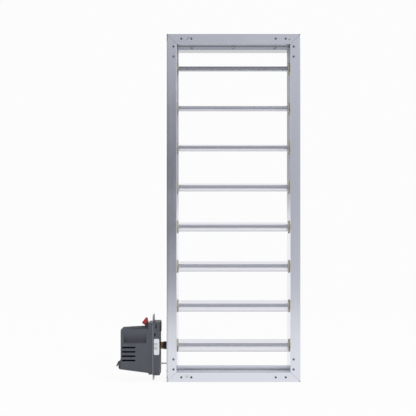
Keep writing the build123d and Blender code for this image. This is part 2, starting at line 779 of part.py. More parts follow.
with BuildPart() as cover_screws:
    for y, z in screw_spots:
        rod([
            (plate_left - SCREW_BITE, base_right - SCREW_HEAD_HEIGHT, SCREW_DIAMETER, y, z),
            (base_right - SCREW_HEAD_HEIGHT, base_right, SCREW_HEAD, y, z),
        ])
save(cover_screws, "cover_screws")

with BuildPart() as anti_rotation_pin:
    rod([(base_right - ANTI_PIN_INSERT, -half_opening, ANTI_PIN_DIAMETER, 0, anti_pin_z)])
save(anti_rotation_pin, "anti_rotation_pin")

clip_x = cover_left - FOOT_REACH
clip_z = foot_z + FOOT_HEIGHT / 2 - FOOT_RADIUS
with BuildPart() as cover_clip:
    with BuildSketch(Plane.XZ):
        with BuildLine():
            Polyline(
                (clip_x, clip_z),
                (clip_x, clip_z - CLIP_THICKNESS),
                (clip_x - CLIP_REACH + CLIP_THICKNESS, clip_z - CLIP_HEIGHT),
                (clip_x - CLIP_REACH, clip_z - CLIP_HEIGHT),
                (clip_x - CLIP_THICKNESS, clip_z),
                close=True,
            )
        make_face()
    extrude(amount=CLIP_WIDTH / 2, both=True)
save(cover_clip, "cover_clip")

# Release lever: a three-cornered wing that turns on a pin between the cover's ears
with BuildPart() as release_lever:
    with BuildSketch(Plane.XZ):
        with Locations((pivot_x, pivot_z)):
            Circle(LEVER_HUB_DIAMETER / 2)
        with Locations(
            (pivot_x - LEVER_WING_REACH, pivot_z + LEVER_WING_RISE),
            (pivot_x - LEVER_TIP_REACH, pivot_z + LEVER_TIP_RISE),
        ):
            Circle(LEVER_EDGE_RADIUS)
        make_hull()
        with Locations((pivot_x, pivot_z)):
            Circle(LEVER_PIN_DIAMETER / 2 + RUN_CLEARANCE, mode=Mode.SUBTRACT)
    extrude(amount=LEVER_WIDTH / 2, both=True)
save(release_lever, "release_lever")

with BuildPart() as lever_pin:
    with BuildSketch(Plane.XZ):
        with Locations((pivot_x, pivot_z)):
            Circle(LEVER_PIN_DIAMETER / 2)
    extrude(amount=ear_offset + LEVER_EAR, both=True)
save(lever_pin, "lever_pin")


# Gear train inside the cover: motor pinion, compound gear and output gear
def involute(angle):
    """Involute function of a pressure angle in radians."""
    return tan(angle) - angle


def gear_face(teeth, centre, tooth_angle):
    """Spur gear outline in the YZ plane, with one tooth centred on tooth_angle (degrees)."""
    pitch_radius = GEAR_MODULE * teeth / 2
    base_radius = pitch_radius * cos(radians(PRESSURE_ANGLE))
    root_radius = pitch_radius - GEAR_ROOT_DEPTH * GEAR_MODULE
    tip_radius = pitch_radius + GEAR_MODULE
    foot_radius = max(root_radius, base_radius)
    half_tooth = pi / (2 * teeth) - BACKLASH / (4 * pitch_radius) + involute(radians(PRESSURE_ANGLE))
    flank = [(root_radius, half_tooth - involute(acos(base_radius / foot_radius)))]
    for share in (0.0, 0.5, 1.0):
        radius = foot_radius + share * (tip_radius - foot_radius)
        flank.append((radius, half_tooth - involute(acos(base_radius / radius))))
    if root_radius > base_radius:
        flank = flank[1:]
    points = []
    for tooth in range(teeth):
        middle = radians(tooth_angle) + 2 * pi * tooth / teeth
        rising = [(radius, middle - half) for radius, half in flank]
        falling = [(radius, middle + half) for radius, half in reversed(flank)]
        for radius, angle in rising + falling:
            points.append((centre[0] + radius * cos(angle), centre[1] + radius * sin(angle)))
    with BuildLine() as outline:
        Polyline(*points, close=True)
    make_face(outline.edges())


def step_from(start, angle, distance):
    """Point in the YZ plane at a distance from another, in a direction in degrees."""
    y, z = direction(angle)
    return start[0] + distance * y, start[1] + distance * z


output_axis = (0, shaft_z)
compound_axis = step_from(output_axis, COMPOUND_DIRECTION, GEAR_MODULE * (OUTPUT_TEETH + PINION_TEETH) / 2)
motor_axis = step_from(compound_axis, MOTOR_DIRECTION, GEAR_MODULE * (WHEEL_TEETH + PINION_TEETH) / 2)
half_pinion_step = 180 / PINION_TEETH
motor_face = plate_left - MOTOR_LENGTH
wheel_right = motor_face - WHEEL_GAP
wheel_left = wheel_right - WHEEL_WIDTH
compound_left = gear_x - GEAR_WIDTH - 2 * END_PLAY

with BuildPart() as output_gear:
    with BuildSketch(Plane.YZ.offset(gear_x - GEAR_WIDTH)):
        gear_face(OUTPUT_TEETH, output_axis, COMPOUND_DIRECTION)
        round_holes([output_axis], OUTPUT_SHAFT_DIAMETER)
    extrude(amount=GEAR_WIDTH)
save(output_gear, "output_gear")

with BuildPart() as compound_gear:
    with BuildSketch(Plane.YZ.offset(wheel_left)):
        gear_face(WHEEL_TEETH, compound_axis, MOTOR_DIRECTION)
    extrude(amount=WHEEL_WIDTH)
    with BuildSketch(Plane.YZ.offset(compound_left)):
        gear_face(PINION_TEETH, compound_axis, COMPOUND_DIRECTION + 180 + half_pinion_step)
    extrude(amount=wheel_left - compound_left)
    with BuildSketch(Plane.YZ.offset(compound_left)):
        with Locations(compound_axis):
            Circle(ARBOR_DIAMETER / 2 + RUN_CLEARANCE)
    extrude(amount=wheel_right - compound_left, mode=Mode.SUBTRACT)
save(compound_gear, "compound_gear")

with BuildPart() as gear_arbor:
    arbor_head = compound_left - END_PLAY
    rod([
        (wheel_right + END_PLAY, plate_left, ARBOR_SHOULDER, *compound_axis),
        (arbor_head, wheel_right + END_PLAY, ARBOR_DIAMETER, *compound_axis),
        (arbor_head - ARBOR_HEAD_HEIGHT, arbor_head, ARBOR_SHOULDER, *compound_axis),
    ])
save(gear_arbor, "gear_arbor")

with BuildPart() as motor:
    rod([
        (motor_face, plate_left, MOTOR_DIAMETER, *motor_axis),
        (motor_face - MOTOR_BOSS_HEIGHT, motor_face, MOTOR_BOSS_DIAMETER, *motor_axis),
    ])
    with BuildSketch(Plane.YZ.offset(motor_face - MOTOR_BOSS_HEIGHT)):
        with Locations(motor_axis):
            Circle(MOTOR_SHAFT_DIAMETER / 2 + RUN_CLEARANCE)
    extrude(amount=MOTOR_SHAFT_INSERT + 2 * END_PLAY, mode=Mode.SUBTRACT)
save(motor, "motor")

with BuildPart() as motor_pinion:
    with BuildSketch(Plane.YZ.offset(wheel_left - END_PLAY)):
        gear_face(PINION_TEETH, motor_axis, MOTOR_DIRECTION + 180 + half_pinion_step)
    extrude(amount=WHEEL_WIDTH + 2 * END_PLAY)
    shaft_stop = motor_face - MOTOR_BOSS_HEIGHT + MOTOR_SHAFT_INSERT
    rod([(wheel_right + END_PLAY, shaft_stop, MOTOR_SHAFT_DIAMETER, *motor_axis)])
save(motor_pinion, "motor_pinion")
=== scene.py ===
"""Finishes, small turned pieces and studio for the rectangular zone damper."""

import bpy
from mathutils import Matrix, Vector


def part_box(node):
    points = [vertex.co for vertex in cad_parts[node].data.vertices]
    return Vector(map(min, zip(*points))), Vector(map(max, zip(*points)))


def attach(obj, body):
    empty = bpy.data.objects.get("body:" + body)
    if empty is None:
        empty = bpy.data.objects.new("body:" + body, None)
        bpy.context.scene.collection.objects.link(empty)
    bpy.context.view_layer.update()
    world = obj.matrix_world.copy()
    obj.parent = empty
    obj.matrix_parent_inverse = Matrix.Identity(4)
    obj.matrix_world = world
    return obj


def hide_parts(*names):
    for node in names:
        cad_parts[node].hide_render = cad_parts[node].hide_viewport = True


bl_info = {
    "name": "Zone Damper Finisher",
    "version": (1, 0, 0),
    "blender": (4, 5, 0),
    "location": "View3D > Sidebar > Zone Damper",
    "description": "Dresses the damper's solids, adds its turned and moulded pieces and lights it",
    "category": "Object",
}

from math import cos, pi, radians, sin
from typing import NamedTuple

import bmesh
import bpy
import numpy as np
from mathutils import Vector

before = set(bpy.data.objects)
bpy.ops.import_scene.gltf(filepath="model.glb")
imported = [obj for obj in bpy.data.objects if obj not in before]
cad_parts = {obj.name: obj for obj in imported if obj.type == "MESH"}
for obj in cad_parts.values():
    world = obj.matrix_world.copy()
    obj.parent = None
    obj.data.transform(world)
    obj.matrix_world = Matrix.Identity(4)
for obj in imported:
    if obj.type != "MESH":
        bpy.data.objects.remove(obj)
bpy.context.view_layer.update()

FRAME_BODY = "frame"
DRIVE_BODY = "drive_blade"
ALONG_X, ALONG_Y, ALONG_Z = range(3)


def corners(node):
    """Lowest and highest corner of a solid, as two arrays in metres."""
    low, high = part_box(node)
    return np.array(low, dtype=float), np.array(high, dtype=float)


RIGHT_LOW, RIGHT_HIGH = corners("right_stile")
BASE_LOW, BASE_HIGH = corners("actuator_base")
PLATE_HIGH = corners("mounting_plate")[1]
COVER_LOW = corners("actuator_cover")[0]
COUPLING_LOW, COUPLING_HIGH = corners("coupling")
HALF_WIDTH = float(RIGHT_HIGH[0])
HALF_DEPTH = float(RIGHT_HIGH[1])
HALF_OPENING = float(RIGHT_LOW[0])
RAIL_TOP = float(corners("bottom_rail")[1][2])
FRAME_HEIGHT = float(RIGHT_HIGH[2])
HALF_HEIGHT = FRAME_HEIGHT / 2
SHAFT_Z = float(COUPLING_LOW[2] + COUPLING_HIGH[2]) / 2
AXIS_Y = float(COUPLING_LOW[1] + COUPLING_HIGH[1]) / 2
COVER_END = float(COVER_LOW[0])
COVER_FRONT = float(COVER_LOW[1])
BLADE_NUMBERS = range(1, 9)


def blade_axis_heights():
    """Heights of the eight blade axes, top to bottom, midway in the axle solids."""
    boxes = np.array([corners(f"axles_{number}") for number in BLADE_NUMBERS])
    return boxes[:, :, 2].mean(axis=1)


BLADE_AXES = blade_axis_heights()

# How near to a face a point counts as lying on it, in metres
FRONT_SKIN = 0.002
LIP_SKIN = 0.0022
RAIL_SKIN = 0.0004
WALL_SKIN = 0.0003

# Finish of the frame, with its painted light and shade: lengths in metres and one linear colour
MITRE_TIP = 0.004
MITRE_SPREAD = 0.0011
# Heights of the painted shadow along a stop's foot, above its rail
STOP_FOOT_SHADE = (0.0012, 0.0022)
# Heights over which the haze and the painted shade on the stiles' inner walls fade in
HAZE_AND_SHADE_HEIGHTS = (0.27, 0.40)
# Pale colour painted on the bottom rail's upward face, for the light that falls there
LIT_TOP_COLOUR = (0.86, 0.88, 0.92, 1.0)

# Places on the actuator's cover where shade is painted, in metres from its end, its front or the shaft
SCOOP_END = (0.009, 0.011)
SCOOP_DEPTHS = (0.0005, 0.0036)
SCOOP_FLOOR = 0.0042
SCOOP_RISE = 0.018
SCOOP_HALF_HEIGHT = 0.0125
COVER_TOP_RISE = (0.0325, 0.0345)
EARS_FROM_END = 0.0566

# Linear colours of the label
PAPER_DARK = (0.80, 0.81, 0.83, 1.0)
PAPER_LIGHT = (0.88, 0.89, 0.90, 1.0)
BAR_COLOUR = (0.36, 0.37, 0.38, 1.0)


# Properties that a user would change
def length_prop(name, description, default):
    """A length in metres."""
    return bpy.props.FloatProperty(
        name=name,
        description=description,
        default=default,
        min=0.0,
        precision=5,
        subtype="DISTANCE",
        unit="LENGTH",
    )


def colour_prop(name, description, default):
    """A linear colour."""
    return bpy.props.FloatVectorProperty(
        name=name,
        description=description,
        default=default,
        size=3,
        min=0.0,
        max=1.0,
        subtype="COLOR",
    )


def share_prop(name, description, default):
    """A plain share from 0 to 1."""
    return bpy.props.FloatProperty(
        name=name,
        description=description,
        default=default,
        min=0.0,
        max=1.0,
        subtype="FACTOR",
    )


class DamperFinishes(bpy.types.PropertyGroup):
    """Colours and roughness of the damper's materials."""

    frame_colour: colour_prop("Frame", "Extruded frame's metal", (0.71, 0.725, 0.79))
    blade_colour: colour_prop("Blades", "Extruded blades' metal", (0.72, 0.725, 0.775))
    frame_roughness: share_prop("Frame roughness", "Roughness of the extruded frame", 0.16)
    nylon_colour: colour_prop("Bearings", "Moulded nylon of the bearings", (0.66, 0.61, 0.45))
    housing_colour: colour_prop("Housing", "Grey moulded actuator housing", (0.102, 0.105, 0.124))
    lever_colour: colour_prop("Lever", "Red release lever", (0.56, 0.038, 0.042))
    black_colour: colour_prop("Black plastic", "Cover clip and coupling sleeve", (0.016, 0.016, 0.018))
    gear_colour: colour_prop("Gears", "Moulded nylon of the gears", (0.74, 0.73, 0.68))
    zinc_colour: colour_prop("Zinc", "Zinc-plated steel", (0.60, 0.61, 0.63))
    linkage_colour: colour_prop("Linkage", "Zinc-plated arms and link bar", (0.50, 0.495, 0.47))
    plate_colour: colour_prop("Plate", "Dull steel of the mounting plate", (0.30, 0.31, 0.345))
    rivet_colour: colour_prop("Rivets", "Dull rivet steel", (0.20, 0.20, 0.215))
    brass_colour: colour_prop("Brass", "Turned brass coupling", (0.48, 0.27, 0.13))
    seam_width: length_prop("Mitre seam", "Half width of the dark line along a mitre", 0.00022)


class DamperPieces(bpy.types.PropertyGroup):
    """Sizes of the pieces that are added to the solids."""

    rivet_radius: length_prop("Rivet radius", "Radius of a corner rivet", 0.0022)
    stile_inset: length_prop("Stile rivets", "A stile's rivets from its outer edge", 0.013)
    rail_inset: length_prop("Rail rivets", "A rail's rivets from its outer edge", 0.009)
    bearing_radius: length_prop("Bearing flange", "Radius of a bearing's flange", 0.0125)
    bearing_flange: length_prop("Flange thickness", "Thickness of a bearing's flange", 0.0025)
    barrel_radius: length_prop("Bearing barrel", "Radius of a bearing's barrel", 0.006)
    barrel_reach: length_prop("Barrel reach", "Barrel's reach from the opening's side", 0.005)
    axle_radius: length_prop("Axle radius", "Radius of an axle in its bearing", 0.00356)
    label_width: length_prop("Label width", "Width of the blank label", 0.0102)
    label_height: length_prop("Label height", "Height of the blank label", 0.0305)


class DamperStage(bpy.types.PropertyGroup):
    """Camera, floor and light."""

    camera_place: bpy.props.FloatVectorProperty(
        name="Camera",
        description="Camera's place",
        default=(-0.0295, -2.5335, 0.2847),
        size=3,
        subtype="XYZ",
        unit="LENGTH",
    )
    lens: bpy.props.FloatProperty(
        name="Lens", description="Focal length in millimetres", default=112.7, min=10.0
    )
    shift: bpy.props.FloatVectorProperty(
        name="Shift", description="Lens shift as a share of the picture", default=(-0.024, 0.0577), size=2
    )
    floor_reach: length_prop("Floor reach", "Half the floor's width", 6.0)
    floor_front: length_prop("Floor front", "How far the floor comes forward of the damper", 2.2)
    floor_shadow: share_prop("Floor shadow", "Share of the floor that shows its shadow", 0.07)


# Shader expressions
class Field:
    """A socket that carries a value over a surface. Arithmetic on it adds Math nodes."""

    def __init__(self, graph, socket):
        self.graph = graph
        self.socket = socket

    def _math(self, operation, first, second=None):
        inputs = {0: first}
        if second is not None:
            inputs[1] = second
        return self.graph.node("ShaderNodeMath", {"operation": operation}, inputs)

    def __add__(self, other):
        return self._math("ADD", self, other)

    __radd__ = __add__

    def __sub__(self, other):
        return self._math("SUBTRACT", self, other)

    def __rsub__(self, other):
        return self._math("SUBTRACT", other, self)

    def __mul__(self, other):
        return self._math("MULTIPLY", self, other)

    __rmul__ = __mul__

    def __truediv__(self, other):
        return self._math("DIVIDE", self, other)

    def __rtruediv__(self, other):
        return self._math("DIVIDE", other, self)

    def __pow__(self, other):
        return self._math("POWER", self, other)

    def __abs__(self):
        return self._math("ABSOLUTE", self)

    def below(self, limit):
        """1 where the value is under a limit, else 0."""
        return self._math("LESS_THAN", self, limit)

    def least(self, other):
        """The smaller of two values."""
        return self._math("MINIMUM", self, other)

    def most(self, other):
        """The larger of two values."""
        return self._math("MAXIMUM", self, other)

    def smooth(self, low, high):
        """0 at low, 1 at high, with a soft step between."""
        settings = {"interpolation_type": "SMOOTHSTEP"}
        inputs = {"Value": self, "From Min": low, "From Max": high}
        return self.graph.node("ShaderNodeMapRange", settings, inputs)


class Graph:
    """One node tree, with one method that adds any node."""

    def __init__(self, tree):
        self.tree = tree
        tree.nodes.clear()

    def node(self, kind, settings=None, inputs=None, output=0):
        """Add a node, set it up, fill or link its sockets and return one output as a Field."""
        node = self.tree.nodes.new(kind)
        for name, value in (settings or {}).items():
            setattr(node, name, value)
        for key, value in (inputs or {}).items():
            if isinstance(value, Field):
                self.tree.links.new(value.socket, node.inputs[key])
            else:
                node.inputs[key].default_value = value
        socket = node.outputs[output] if node.outputs else None
        return Field(self, socket)

    def place(self):
        """Object coordinates as a vector field and as three values."""
        vector = self.node("ShaderNodeTexCoord", output="Object")
        return vector, *self.split(vector)

    def split(self, vector):
        """The three parts of a vector."""
        parts = self.node("ShaderNodeSeparateXYZ", inputs={0: vector})
        node = parts.socket.node
        return [Field(self, node.outputs[i]) for i in range(3)]

    def stretched(self, vector, scale):
        """A vector scaled along each axis."""
        return self.node("ShaderNodeVectorMath", {"operation": "MULTIPLY"}, {0: vector, 1: scale})

    def noise(self, vector, scale, detail=2.0, roughness=0.5):
        """Noise value over a vector, about 0.5."""
        inputs = {"Vector": vector, "Scale": scale, "Detail": detail, "Roughness": roughness}
        return self.node("ShaderNodeTexNoise", inputs=inputs)

    def mix(self, factor, first, second):
        """Colour between two colours by a factor."""
        inputs = {"Factor": factor, 6: first, 7: second}
        return self.node("ShaderNodeMix", {"data_type": "RGBA"}, inputs, output=2)

    def bump(self, height, distance, strength=1.0):
        """Normal bent by a height field, in metres."""
        inputs = {"Height": height, "Distance": distance, "Strength": strength}
        return self.node("ShaderNodeBump", inputs=inputs)

    def surface(self, inputs):
        """Principled shader with these sockets, as the material's surface."""
        shader = self.node("ShaderNodeBsdfPrincipled", inputs=inputs)
        self.output(shader)

    def output(self, shader):
        """Link a shader to the material's output."""
        self.node("ShaderNodeOutputMaterial", inputs={"Surface": shader})


def rgba(colour, gain=1.0):
    """Opaque colour from three values."""
    return (*[min(1.0, c * gain) for c in colour], 1.0)


def fresh_material(name):
    """New material and its empty graph."""
    material = bpy.data.materials.new(name)
    material.use_nodes = True
    return material, Graph(material.node_tree)


# Masks over the frame and the cover: wear, seams, and painted light and shade
class WearAndShadeMark(NamedTuple):
    """A stroke on the front face: place, half sizes and soft edge in metres, angle in degrees, strength."""

    x: float
    z: float
    angle: float
    half_length: float
    half_width: float
    soft: float
    strength: float


def wear_and_shade_stroke(x, y, z, mark):
    """A mark's strength inside a soft-edged box that is turned in the XZ plane, and 0 outside it."""
    turn = radians(mark.angle)
    step_x = x - mark.x
    step_z = z - mark.z
    along = abs(step_x * cos(turn) + step_z * sin(turn))
    across = abs(step_z * cos(turn) - step_x * sin(turn))
    inside = 1 - along.smooth(mark.half_length - mark.soft, mark.half_length + mark.soft)
    inside = inside * (1 - across.smooth(mark.half_width - mark.soft, mark.half_width + mark.soft))
    return inside * y.below(FRONT_SKIN - HALF_DEPTH) * mark.strength


def mitre_seam(x, z, half_width):
    """1 where a point is as far from the outer side as from the outer end, widening at the very corner."""
    across = HALF_WIDTH - abs(x)
    along = HALF_HEIGHT - abs(z - HALF_HEIGHT)
    tip = 1 - across.most(along).smooth(0.0, MITRE_TIP)
    gap = abs(across - along) - tip * MITRE_SPREAD
    return 1 - gap.smooth(half_width * 0.5, half_width * 2.0)


def wall_haze_and_shade(x, z):
    """Haze and painted shade: 1 on the upper part of the stiles' inner walls, fading to 0 below their
    middle.
    """
    return abs(x).below(HALF_OPENING + WALL_SKIN) * z.smooth(*HAZE_AND_SHADE_HEIGHTS)


def stop_foot_shade(z):
    """Painted shadow: 1 along the foot of a stop, where it meets its rail, and 0 further out."""
    from_rail = HALF_HEIGHT - RAIL_TOP - abs(z - HALF_HEIGHT)
    return 1 - from_rail.smooth(*STOP_FOOT_SHADE)


def rail_underside_shade(z):
    """Painted shade: 1 on the downward face inside the top rail."""
    return abs(z - FRAME_HEIGHT + RAIL_TOP).below(RAIL_SKIN)


def rail_top_light(y, z):
    """Painted light: 1 on the upward face inside the bottom rail, behind its front lip."""
    return abs(z - RAIL_TOP).below(RAIL_SKIN) * (1 - y.below(LIP_SKIN - HALF_DEPTH))


def scoop_shade_mask(x, y, z):
    """Painted shade: 0 on the cover's front face, rising to 1 at the bottom of its finger scoop."""
    inwards = y - COVER_FRONT
    deep = inwards.smooth(*SCOOP_DEPTHS)
    beside = (x - COVER_END).smooth(*SCOOP_END)
    from_middle = abs(z - SHAFT_Z - SCOOP_RISE)
    return deep * beside * from_middle.below(SCOOP_HALF_HEIGHT) * inwards.below(SCOOP_FLOOR)


def cover_top_shade(x, z):
    """Painted shade: 1 along the top edge and top face of the cover, left of the lever's ears."""
    return (z - SHAFT_Z).smooth(*COVER_TOP_RISE) * x.below(COVER_END + EARS_FROM_END)


# Finishes
def run_scale(across, along, run):
    """Noise scales for the three axes: one value along the run and another across it."""
    scale = [across] * 3
    scale[run] = along
    return tuple(scale)


def extruded_aluminium(
    name, colour, roughness, run, seam=0.0, dull=0.0, marks=(), rail_light_and_shade=False, stop_foot_shaded=False
):
    """Satin extrusion: die lines along its run, faint clouds and scuffs, and what the options add.

    seam is the half width of the mitre lines and dull the strength of a haze and painted shade on the upper
    inner walls. marks are strokes of wear and of painted shade. One option adds painted light on the bottom
    rail's upward face and painted shade under the top rail, another a painted shadow along a stop's foot.
    """
    material, g = fresh_material(name)
    place, x, y, z = g.place()
    lines = g.noise(g.stretched(place, run_scale(2600.0, 7.0, run)), 1.0, detail=2.0)
    bands = g.noise(g.stretched(place, run_scale(420.0, 2.5, run)), 1.0, detail=1.0)
    clouds = g.noise(place, 16.0, detail=3.0)
    scuffs = g.noise(place, 95.0, detail=4.0, roughness=0.65).smooth(0.62, 0.74)
    tone = (lines * 0.10 + bands * 0.14 + clouds * 0.16 + 0.80).least(1.0)
    base = g.mix(tone, rgba(colour, 0.72), rgba(colour, 1.04))
    rough = roughness + (clouds - 0.5) * 0.10 + (lines - 0.5) * 0.10 + scuffs * 0.07
    metallic = 1.0
    if dull:
        # Painted shade: the upper inner walls are darkened, and also made rougher and less metallic
        haze = wall_haze_and_shade(x, z) * dull
        base = g.mix(haze, base, rgba(colour, 0.52))
        rough = rough + haze * 0.45
        metallic = 1.0 - haze * 0.85
    if seam:
        base = g.mix(mitre_seam(x, z, seam) * 0.8, base, rgba(colour, 0.10))
    if stop_foot_shaded:
        # Painted shadow: a dark line along a stop's foot
        base = g.mix(stop_foot_shade(z) * 0.55, base, rgba(colour, 0.16))
    if rail_light_and_shade:
        # Painted shade on the downward face inside the top rail
        base = g.mix(rail_underside_shade(z) * 0.75, base, rgba(colour, 0.30))
        # Painted light: the bottom rail's upward face is made pale, rougher and less metallic
        lit_top = rail_top_light(y, z)
        base = g.mix(lit_top, base, LIT_TOP_COLOUR)
        rough = rough + lit_top * 0.40
        metallic = 1.0 - lit_top * 0.9
    for mark in marks:
        # Strokes of wear, and of painted shade along the left stile's edge
        wear_and_shade = wear_and_shade_stroke(x, y, z, mark) * (scuffs * 0.3 + 0.6)
        base = g.mix(wear_and_shade, base, rgba(colour, 0.12))
    normal = g.bump(lines * 0.6 + bands, 0.00003, 0.35)
    g.surface({"Base Color": base, "Metallic": metallic, "Roughness": rough, "Normal": normal})
    return material


def moulded_plastic(name, colour, roughness, grain=0.00004, gloss=0.5, scooped=False):
    """Moulded plastic: a fine grain and an uneven tone, and on a scooped cover painted shade in the scoop
    and on the top.
    """
    material, g = fresh_material(name)
    place, x, y, z = g.place()
    pits = g.noise(place, 2300.0, detail=1.0)
    patches = g.noise(place, 55.0, detail=3.0)
    base = g.mix(patches, rgba(colour, 0.90), rgba(colour, 1.10))
    rough = roughness + (patches - 0.5) * 0.12
    if scooped:
        scoop = scoop_shade_mask(x, y, z)
        top = cover_top_shade(x, z)
        # Painted shade: the finger scoop is darkened and made rougher
        base = g.mix(scoop, base, rgba(colour, 0.58))
        # Painted shade: the cover's top edge and top face are darkened and made rougher
        base = g.mix(top * 0.6, base, rgba(colour, 0.35))
        rough = rough + scoop * 0.12 + top * 0.35
    g.surface({
        "Base Color": base,
        "Roughness": rough,
        "Specular IOR Level": gloss,
        "Normal": g.bump(pits, grain, 0.5),
    })
    return material


def bearing_nylon(name, colour):
    """Natural nylon: waxy, a little translucent and faintly clouded."""
    material, g = fresh_material(name)
    place = g.place()[0]
    cloud = g.noise(place, 140.0, detail=2.0)
    g.surface({
        "Base Color": g.mix(cloud, rgba(colour, 0.82), rgba(colour, 1.12)),
        "Roughness": 0.42 + (cloud - 0.5) * 0.15,
        "Subsurface Weight": 0.12,
        "Subsurface Radius": (0.004, 0.003, 0.0015),
        "Normal": g.bump(g.noise(place, 1500.0), 0.00003, 0.4),
    })
    return material


def plated_steel(name, colour, roughness, grain=600.0):
    """Plated or dull steel: a faint spangle over a broader haze."""
    material, g = fresh_material(name)
    place = g.place()[0]
    spangle = g.noise(place, grain, detail=2.0)
    haze = g.noise(place, 40.0, detail=2.0)
    g.surface({
        "Base Color": g.mix(spangle * 0.5 + haze * 0.5, rgba(colour, 0.80), rgba(colour, 1.12)),
        "Metallic": 1.0,
        "Roughness": roughness + (haze - 0.5) * 0.16,
        "Normal": g.bump(spangle, 0.00002, 0.4),
    })
    return material


def turned_brass(name, colour):
    """Turned metal: rings about the shaft and darker tarnish in patches."""
    material, g = fresh_material(name)
    place = g.place()[0]
    rings = g.noise(g.stretched(place, run_scale(60.0, 5200.0, ALONG_X)), 1.0, detail=1.0)
    tarnish = g.noise(place, 230.0, detail=3.0).smooth(0.42, 0.66)
    g.surface({
        "Base Color": g.mix(tarnish, rgba(colour, 1.25), rgba(colour, 0.55)),
        "Metallic": 1.0,
        "Roughness": 0.26 + rings * 0.12 + tarnish * 0.18,
        "Normal": g.bump(rings, 0.00004, 0.6),
    })
    return material


def blank_paper(name, bars, right):
    """White label stock with plain grey bars between given heights, left of a given x."""
    material, g = fresh_material(name)
    place, x, _, z = g.place()
    fibre = g.noise(place, 900.0, detail=2.0)
    base = g.mix(fibre, PAPER_DARK, PAPER_LIGHT)
    soft = 0.0003
    for low, high in bars:
        level = (low + high) / 2
        half = (high - low) / 2
        inside = 1 - abs(z - level).smooth(half - soft, half + soft)
        base = g.mix(inside * x.below(right) * 0.55, base, BAR_COLOUR)
    g.surface({
        "Base Color": base,
        "Roughness": 0.38 + fibre * 0.1,
        "Normal": g.bump(fibre, 0.00001, 0.3),
    })
    return material


def finish(material, *nodes):
    """Give solids a material in all their slots."""
    for name in nodes:
        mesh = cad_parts[name].data
        if not mesh.materials:
            mesh.materials.append(material)
        for index in range(len(mesh.materials)):
            mesh.materials[index] = material


# Surfaces
def grid_shell(points, wrap_u=False, wrap_v=False):
    """Points and quads of a (u, v, 3) grid: each cell is a quad, and a wrapped axis closes on itself."""
    nu, nv = points.shape[:2]
    index = np.arange(nu * nv).reshape(nu, nv)
    if wrap_u:
        index = np.vstack([index, index[:1]])
    if wrap_v:
        index = np.hstack([index, index[:, :1]])
    quads = np.stack([index[:-1, :-1], index[1:, :-1], index[1:, 1:], index[:-1, 1:]], axis=-1)
    return points.reshape(-1, 3), quads.reshape(-1, 4)


def lathe(profile, centre, axis, segments):
    """Profile of (along, radius) pairs turned about an axis through a centre.

    At each turn from 0 to a full circle the two other places are the radius times cosine and sine.
    """
    profile = np.array(profile, dtype=float)
    turn = np.linspace(0.0, 2 * pi, segments, endpoint=False)
    along = np.repeat(profile[:, :1], segments, axis=1)
    first = profile[:, 1:] * np.cos(turn)
    second = profile[:, 1:] * np.sin(turn)
    order = (along, first, second) if axis == ALONG_X else (first, along, second)
    return np.stack(order, axis=-1) + np.array(centre, dtype=float)


def arc_pairs(centre, radius, start, stop, count):
    """Pairs on an arc: the centre plus the radius times cosine and sine, for angles in degrees."""
    turn = np.radians(np.linspace(start, stop, count))
    return list(zip(centre[0] + radius * np.cos(turn), centre[1] + radius * np.sin(turn)))


def smooth_mesh(name, points, quads, material):
    """Smooth-shaded mesh of quads with one material."""
    mesh = bpy.data.meshes.new(name)
    mesh.from_pydata(points.tolist(), [], quads.tolist())
    mesh.materials.append(material)
    mesh.polygons.foreach_set("use_smooth", np.ones(len(quads), dtype=bool))
    return mesh


def merge_and_turn(mesh):
    """Weld doubled points, such as poles, and point every face outwards."""
    bm = bmesh.new()
    bm.from_mesh(mesh)
    bmesh.ops.remove_doubles(bm, verts=bm.verts, dist=1e-7)
    bmesh.ops.dissolve_degenerate(bm, edges=bm.edges, dist=1e-8)
    bmesh.ops.recalc_face_normals(bm, faces=bm.faces)
    bm.to_mesh(mesh)
    bm.free()
    mesh.update()


def add_object(name, data):
    """New object in the scene's own collection."""
    obj = bpy.data.objects.new(name, data)
    bpy.context.scene.collection.objects.link(obj)
    return obj


def piece(name, shells, material, body, replaced=()):
    """One object from several (points, quads) shells, riding on a body."""
    points = []
    quads = []
    count = 0
    for shell_points, shell_quads in shells:
        points.append(shell_points)
        quads.append(shell_quads + count)
        count += len(shell_points)
    mesh = smooth_mesh(name, np.concatenate(points), np.concatenate(quads), material)
    merge_and_turn(mesh)
    obj = add_object(name, mesh)
    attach(obj, body)
    if replaced:
        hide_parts(*replaced)


def scene_settings():
    """The three property groups of the scene."""
    scene = bpy.context.scene
    return scene.damper_finishes, scene.damper_pieces, scene.damper_stage


